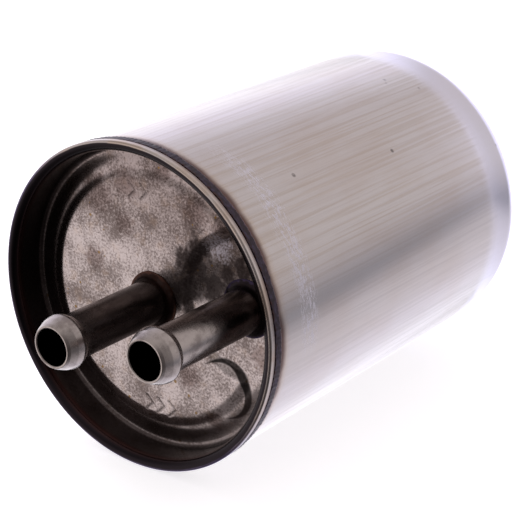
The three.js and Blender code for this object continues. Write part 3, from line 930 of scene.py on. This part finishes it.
class FUELFILTER_OT_rim_weld(bpy.types.Operator):
    """Build the seam weld behind the lip"""

    bl_idname = "fuel_filter.rim_weld"
    bl_label = "Rim weld"

    def execute(self, context):
        values = settings()
        piece = skin("seam_weld", weld_rows(values.can))
        material = heat_tinted_weld(values.colours)
        finish_piece(piece, material, "housing", "heat_tinted_weld", "rim_weld")
        return {"FINISHED"}


class FUELFILTER_OT_nipples(bpy.types.Operator):
    """Build the outlet and inlet hose nipples"""

    bl_idname = "fuel_filter.nipples"
    bl_label = "Hose nipples"

    def execute(self, context):
        values = settings()
        material = satin_turned_steel(values.colours)
        nipples = (("outlet_nipple", "outlet_tube", OUTLET), ("inlet_nipple", "inlet_tube", INLET))
        for name, node, at in nipples:
            outline = nipple_outline(values.nipple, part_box(node)[1].y)
            piece = turned(name, outline, SIDES_NIPPLE, (at.x, at.z))
            finish_piece(piece, material, "housing", "nipple_steel", node)
        return {"FINISHED"}


class FUELFILTER_OT_braze(bpy.types.Operator):
    """Build the braze fillets at the nipples' roots"""

    bl_idname = "fuel_filter.braze"
    bl_label = "Braze fillets"

    def execute(self, context):
        values = settings()
        colours = values.colours
        rings = (
            ("outlet_braze", "outlet_braze_ring", colours.copper, colours.brown_soot),
            ("inlet_braze", "inlet_braze_ring", colours.violet_tint, colours.lip_roll),
        )
        for name, node, main, patch in rings:
            piece = skin(name, braze_rows(values.nipple, node))
            material = oxidised_braze(name + "_oxidised_copper", node, main, patch, colours)
            finish_piece(piece, material, "housing", "braze", node)
        return {"FINISHED"}


class FUELFILTER_OT_spring(bpy.types.Operator):
    """Build the preload spring"""

    bl_idname = "fuel_filter.spring"
    bl_label = "Preload spring"

    def execute(self, context):
        values = settings()
        piece = skin("preload_coil", spring_rows(values.spring), closed=False)
        finish_piece(piece, drawn_wire(values.colours), "housing", "spring_steel", "preload_spring")
        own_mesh(piece)
        return {"FINISHED"}


class FUELFILTER_OT_element(bpy.types.Operator):
    """Dress the filter element's pieces inside the can"""

    bl_idname = "fuel_filter.element"
    bl_label = "Filter element"

    def execute(self, context):
        colours = settings().colours
        zinc, resin = zinc_plated_steel(colours), cast_resin(colours)
        finishes = {
            "outlet_grommet": moulded_rubber(colours),
            "upper_end_cap": zinc,
            "upper_potting": resin,
            "pleated_media": cured_paper(colours),
            "seam_clip": zinc,
            "core_tube": zinc,
            "lower_potting": resin,
            "lower_end_cap": zinc,
            "spring_seat": zinc,
        }
        for node, material in finishes.items():
            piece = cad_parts[node]
            piece.data.materials.clear()
            piece.data.materials.append(material)
        return {"FINISHED"}


# Light of the dome round the can's axis, by angle from +X towards +Z, behind and in front.
DOME_BACK = (
    (-180, "#e2e0e7"), (-122, "#e9e7f0"), (-102, "#d1d0da"), (-82, "#c0bdc8"), (-62, "#b1adb3"),
    (-42, "#a7a3a8"), (-32, "#989499"), (-21, "#6d6d73"), (-12, "#7e7c81"), (-2, "#928d8f"),
    (18, "#9f9a9a"), (78, "#9e9898"), (98, "#a09a9b"), (118, "#a09b9f"), (138, "#b7b4bc"),
    (150, "#c5c1cf"), (180, "#e2e0e7"),
)
DOME_FRONT = (
    (-180, "#b6b0b0"), (-147, "#c2bbba"), (-118, "#635e5e"), (-60, "#252222"), (33, "#514d4d"),
    (90, "#989392"), (147, "#7d7877"), (180, "#b6b0b0"),
)
DOME_END = "#cfcddf"


def dome_ramp(tree, turn, stops):
    """The dome's colours along one half, from stops in degrees."""
    node = add(tree, "ValToRGB", None, {0: turn})
    elements = node.color_ramp.elements
    while len(elements) < len(stops):
        elements.new(1)
    for element, (degrees, hex_colour) in zip(elements, stops):
        element.position, element.color = (degrees + 180) / 360, (*linear(hex_colour), 1)
    return node


def build_dome(strength):
    """A soft light dome: pale behind and above, dimmer in front, plain white to the camera."""
    world = bpy.data.worlds.new("studio_dome")
    bpy.context.scene.world = world
    world.use_nodes = True
    tree = world.node_tree
    tree.nodes.clear()
    coords = add(tree, "TexCoord")
    parts = add(tree, "SeparateXYZ", None, {0: coords.outputs["Generated"]})
    x, y, z = parts.outputs
    around = add(tree, "Math", ARCTAN2, {0: z, 1: x})
    turn = add(tree, "MapRange", None, {0: around, 1: -math.pi, 2: math.pi})
    front, back = dome_ramp(tree, turn, DOME_FRONT), dome_ramp(tree, turn, DOME_BACK)
    back = layer(tree, back, linear(DOME_END), 0.9, (y, 0.915, 0.98))
    light = layer(tree, front, back, 1.0, (y, -0.3, 0.4))
    dome = add(tree, "Background", None, {0: light, "Strength": strength})
    plain = add(tree, "Background", None, {0: linear("#fdfdfd"), "Strength": 1.0})
    seen = add(tree, "LightPath").outputs["Is Camera Ray"]
    mixed = add(tree, "MixShader", None, {0: seen, 1: dome, 2: plain})
    add(tree, "OutputWorld", None, {0: mixed})


class FUELFILTER_OT_stage(bpy.types.Operator):
    """Set the camera, the floor and the light"""

    bl_idname = "fuel_filter.stage"
    bl_label = "Stage"

    def execute(self, context):
        stage = settings().stage
        scene = bpy.context.scene
        flat = math.cos(stage.elevation)
        back = Vector((
            math.sin(stage.azimuth) * flat, -math.cos(stage.azimuth) * flat, math.sin(stage.elevation)))
        camera = bpy.data.objects.new("camera", bpy.data.cameras.new("camera"))
        camera.data.lens = stage.lens
        camera.data.clip_start, camera.data.clip_end = 0.01, 20
        camera.rotation_mode = "QUATERNION"
        camera.location = Vector(stage.aim) + back * stage.distance
        camera.rotation_quaternion = (-back).to_track_quat("-Z", "Y")
        scene.collection.objects.link(camera)
        scene.camera = camera

        floor_z = -settings().plate.lip_radius
        mesh_data = bmesh.new()
        edge = ring(stage.floor_radius, 0, 96)
        mesh_data.faces.new([mesh_data.verts.new((p.x, p.z, floor_z)) for p in edge])
        floor = piece_from("floor", mesh_data)
        floor.data.materials.append(sanded_acrylic())
        floor.visible_glossy = False

        lamp = bpy.data.objects.new("softbox", bpy.data.lights.new("softbox", "AREA"))
        lamp.data.shape = "DISK"
        lamp.data.size = 0.5
        lamp.data.energy = 2.0
        lamp.location = (-0.25, 0.1, 0.6)
        lamp.rotation_mode = "QUATERNION"
        lamp.rotation_quaternion = lamp.location.to_track_quat("Z", "Y")
        lamp.visible_glossy = False
        scene.collection.objects.link(lamp)

        build_dome(stage.dome_strength)
        scene.view_settings.view_transform = "Standard"
        return {"FINISHED"}


class FUELFILTER_PT_panel(bpy.types.Panel):
    """List the filter's pieces"""

    bl_idname = "FUELFILTER_PT_panel"
    bl_label = "Fuel Filter"
    bl_space_type = "VIEW_3D"
    bl_region_type = "UI"
    bl_category = "Fuel Filter"

    def draw(self, context):
        for operator in OPERATORS:
            self.layout.operator(operator.bl_idname)


GROUPS = (
    CanSizes, PlateSizes, NippleSizes, SpringSizes, FilterColours, StageSettings, FilterSettings,
)
OPERATORS = (
    FUELFILTER_OT_stage, FUELFILTER_OT_canister, FUELFILTER_OT_end_plate, FUELFILTER_OT_rim_weld,
    FUELFILTER_OT_nipples, FUELFILTER_OT_braze, FUELFILTER_OT_spring, FUELFILTER_OT_element,
)


def register():
    for item in (*GROUPS, *OPERATORS, FUELFILTER_PT_panel):
        bpy.utils.register_class(item)
    bpy.types.Scene.fuel_filter = PointerProperty(type=FilterSettings)


def unregister():
    del bpy.types.Scene.fuel_filter
    for item in reversed((*GROUPS, *OPERATORS, FUELFILTER_PT_panel)):
        bpy.utils.unregister_class(item)


def main():
    """Build everything in order."""
    register()
    for operator in OPERATORS:
        group, name = operator.bl_idname.split(".")
        getattr(getattr(bpy.ops, group), name)()
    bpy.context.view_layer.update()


if __name__ == "__main__":
    main()
